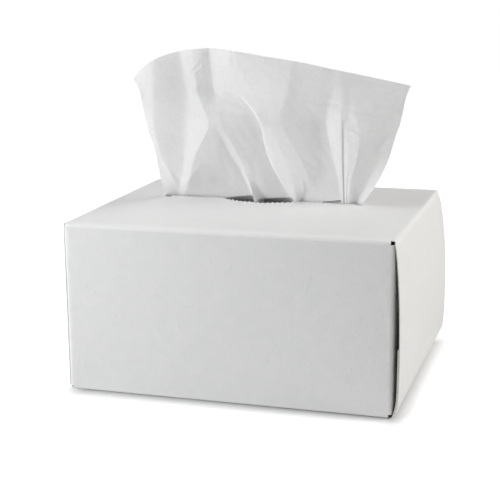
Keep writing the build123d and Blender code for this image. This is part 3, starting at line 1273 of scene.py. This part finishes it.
        # Where the free edge dips, its place still comes after the last level.
        rows.append((max(edge, self.levels[-1] + 1), *fold.line[-1]))
        return through_points(rows, rise * edge)

    def surface_row(self, columns: Sequence[float], rise: float) -> list[Vector]:
        """Lay one level line of the sheet.

        Args:
            columns: Stations across the sheet.
            rise: The row's share, as in rises.

        Returns:
            The row's points in millimetres.
        """
        row = []
        last = len(self.folds) - 1
        floor = self.pack_top + self.clearance
        for station in columns:
            index = min(int(station), last - 1)
            share = station - index
            one, two = self.folds[index:index + 2]
            ends = zip(self.fold_at(one, max(rise, 0.0)), self.fold_at(two, max(rise, 0.0)))
            x, y = (a + (b - a) * share for a, b in ends)
            flat_x = self.sheet_width * (station / last - 0.5)
            if rise >= 0:
                top_x = one.line[-1][0] * (1 - share) + two.line[-1][0] * share
                row.append(Vector((x, y, self.slot_level + rise * self.rim_height(top_x))))
            elif rise >= -1:
                t = -rise
                row.append(Vector((
                    x + (flat_x - x) * smooth(t), y * (1 - t) + self.gather_depth * t * t,
                    self.slot_level + (floor - self.slot_level) * math.sin(0.5 * math.pi * t))))
            else:
                depth = self.gather_depth + (self.lying_depth - self.gather_depth) * (-rise - 1)
                row.append(Vector((flat_x, depth, floor)))
        return row

    def soften(self, row: list[Vector], columns: Sequence[float], rise: float) -> list[Vector]:
        """Round the folds of a level line, crisp ones less, and all of them near the free edge.

        Args:
            row: The line's points in millimetres.
            columns: Stations across the sheet.
            rise: The row's share, as in rises.

        Returns:
            The rounded line, with both its ends kept.
        """
        weights = []
        crisp_left = 1 - smooth((rise - self.round_from) / (1 - self.round_from))
        for station in columns:
            nearest = round(station)
            near = smooth(1 - self.crease_reach * abs(station - nearest))
            crisp = self.crisp_weight * self.folds[nearest].crisp * near * crisp_left
            weights.append(self.round_weight - crisp)
        for _ in range(self.round_passes):
            moved = list(row)
            for i in range(1, len(row) - 1):
                moved[i] = row[i].lerp((row[i - 1] + row[i + 1]) / 2, weights[i])
            row = moved
        return row

    def wrinkle(self, x: float, h: float) -> float:
        """Measure the small crumples and the paper's own unevenness.

        Args:
            x: Place along the slot.
            h: Height above the slot.

        Returns:
            How far the sheet is moved across the slot there.
        """
        place = Vector((x, h))
        depth = sum(crumple.depth(place) for crumple in self.crumples)
        depth += sum(wave.at(x, h) for wave in self.waves)
        ridges = self.ridges
        ridge = abs(uneven(x / ridges.along + h / self.ridge_slant, h / ridges.up, ridges.lane))
        return depth + ridges.depth * (self.ridge_level - ridge)

    def build(self) -> Piece:
        """Lay the sheet, crumple it a little, thicken it and dress it.

        Returns:
            The finished tissue, which stands for the drawn tissue's own node.
        """
        columns = self.stations()
        where = {}
        for rise in self.rises():
            fade = smooth(rise * self.uneven_start)
            kept = min(max(rise + 1, 0.0), 1.0)
            for station, point in zip(columns, self.soften(self.surface_row(columns, rise), columns, rise)):
                height = point.z - self.slot_level
                point.y += (self.through_slot(point.x, point.y, height) - point.y) * kept
                point.y += fade * self.wrinkle(point.x, height)
                where[station, rise] = tuple(point)
        piece = grid_sheet("drawn_tissue_sheet", columns, self.rises(), lambda c, r: where[c, r])
        thicken(piece, self.thickness, 0, [self.finish.build()])
        smooth_shade(piece, self.shade_angle)
        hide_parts("drawn_tissue")
        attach(piece, "root")
        return piece


@dataclass
class InsidePieces:
    """The pack and the glue, whose own nodes keep their shapes and get their finishes."""

    carton: Carton = field(default_factory=Carton)
    pack: PackedTissue = PackedTissue()
    glue: HotMelt = HotMelt()
    bead_half_length: float = 80.0
    bead_levels: tuple[Pair, ...] = ((10.1, 18.1), (28.1, 36.1))
    bead_steps: tuple[int, int] = (40, 4)

    def left_beads(self, melt: bpy.types.Material) -> Piece:
        """Spread the left end's two glue beads between its flaps, which lie flatter than the right ones.

        Args:
            melt: The glue's material.

        Returns:
            Both beads as one piece, which stands for the left glue's own node.
        """
        inset = self.carton.board + self.carton.glue_line / 2
        across = spaced(-self.bead_half_length, self.bead_half_length, self.bead_steps[0])
        beads = [
            grid_sheet("glue_bead", across, spaced(*levels, self.bead_steps[1]),
                       lambda y, z: (-self.carton.flap_reach(Side.LEFT, y, z, inset), y, z))
            for levels in self.bead_levels
        ]
        piece = join_sheets(beads, "end_glue_left_beads")
        thicken(piece, self.carton.glue_line, 0, [melt])
        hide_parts("end_glue_left")
        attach(piece, "root")
        return piece

    def build(self) -> Piece:
        """Give each node its material, and the left beads their own shape.

        Returns:
            The left beads.
        """
        packed, melt = self.pack.build(), self.glue.build()
        for name, material in (("tissue_pack", packed), ("seam_glue", melt), ("end_glue_right", melt)):
            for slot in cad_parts[name].material_slots:
                slot.material = material
            log.info("dressed %s", name)
        return self.left_beads(melt)


@dataclass(frozen=True)
class Lamp:
    """A square soft lamp: where it hangs and what it faces, its width, its power in watts and its colour."""

    name: str
    place: Point
    aim: Point
    size: float
    power: float
    colour: str

    def hang(self) -> Piece:
        """Hang the lamp.

        Returns:
            The lamp.
        """
        data = bpy.data.lights.new(self.name, "AREA")
        data.shape = "SQUARE"
        data.size = self.size * MM
        data.energy = self.power
        data.color = linear(self.colour)[:3]
        lamp = bpy.data.objects.new(self.name, data)
        bpy.context.scene.collection.objects.link(lamp)
        lamp.location = Vector(self.place) * MM
        lamp.rotation_euler = (Vector(self.aim) - Vector(self.place)).to_track_quat("-Z", "Y").to_euler()
        return lamp


@dataclass
class Studio:
    """A white sweep, soft lamps and the camera at the photograph's angle."""

    lens: float = 88.6
    sensor: float = 36.0
    sight: float = 50000.0
    eye: Point = (230.7, -796.2, 273.7)
    aim: Point = (-9.0, 0.0, 80.0)
    roll: float = -0.54
    floor_size: float = 6000.0
    paper: PaperSweep = PaperSweep()
    surround: float = 0.01
    lamps: tuple[Lamp, ...] = (
        Lamp("key", (-710, -480, 325), (0, -60, 60), 400, 3.3, "#FEFFFF"),
        Lamp("key_near", (-360, -450, 330), (0, -60, 60), 350, 0.65, "#FEFFFF"),
        Lamp("end_fill", (900, 70, 660), (100, 0, 60), 500, 7.5, "#FFFDFA"),
        Lamp("rear_top", (-450, 300, 800), (0, 0, 100), 600, 0.45, "#FFFFFF"),
        Lamp("front_top", (-200, -390, 780), (0, 0, 100), 550, 1.3, "#F8FBFF"),
    )

    def camera(self) -> Piece:
        """Set the camera where the photograph was taken from.

        Returns:
            The camera.
        """
        data = bpy.data.cameras.new("camera")
        data.lens = self.lens
        data.sensor_width = self.sensor
        data.clip_end = self.sight * MM
        camera = bpy.data.objects.new("camera", data)
        bpy.context.scene.collection.objects.link(camera)
        camera.location = Vector(self.eye) * MM
        look = (Vector(self.aim) - Vector(self.eye)).to_track_quat("-Z", "Y")
        camera.rotation_mode = "QUATERNION"
        camera.rotation_quaternion = look @ Quaternion((0, 0, 1), math.radians(self.roll))
        bpy.context.scene.camera = camera
        return camera

    def world(self) -> None:
        """Surround the scene with an even soft light that the camera and gloss see as white."""
        world = bpy.data.worlds.new("studio")
        bpy.context.scene.world = world
        world.use_nodes = True
        tree = world.node_tree
        tree.nodes.clear()
        rays = add_node(tree, "ShaderNodeLightPath")
        seen = rays.outputs["Is Camera Ray"]
        for ray in ("Is Glossy Ray", "Is Transmission Ray"):
            seen = add_node(tree, "ShaderNodeMath", {0: seen, 1: rays.outputs[ray]},
                            operation="MAXIMUM").outputs["Value"]
        strength = add_node(tree, "ShaderNodeMapRange", {"Value": seen, "To Min": self.surround})
        light = add_node(tree, "ShaderNodeBackground", {
            "Color": linear("#FFFFFF"), "Strength": strength.outputs["Result"]})
        add_node(tree, "ShaderNodeOutputWorld", {"Surface": light.outputs["Background"]})

    def floor(self) -> Piece:
        """Lay the white sweep that keeps the object's shadow.

        Returns:
            The floor.
        """
        bpy.ops.object.select_all(action="DESELECT")
        bpy.ops.mesh.primitive_plane_add(size=self.floor_size * MM, location=ORIGIN)
        floor = bpy.context.active_object
        floor.name = floor.data.name = "studio_floor"
        floor.data.materials.append(self.paper.build())
        return floor

    def build(self) -> None:
        """Set the camera, the floor, the world and the lamps."""
        bpy.context.scene.view_settings.view_transform = "Standard"
        self.camera()
        self.floor()
        self.world()
        for lamp in self.lamps:
            lamp.hang()


def main() -> None:
    """Build the studio and each piece, and log how many faces each piece has."""
    logging.basicConfig(level=logging.INFO)
    Studio().build()
    for part in (Carton(), DrawnTissue(), InsidePieces()):
        piece = part.build()
        log.info("%s: %d faces", piece.name, len(piece.data.polygons))


if __name__ == "__main__":
    main()
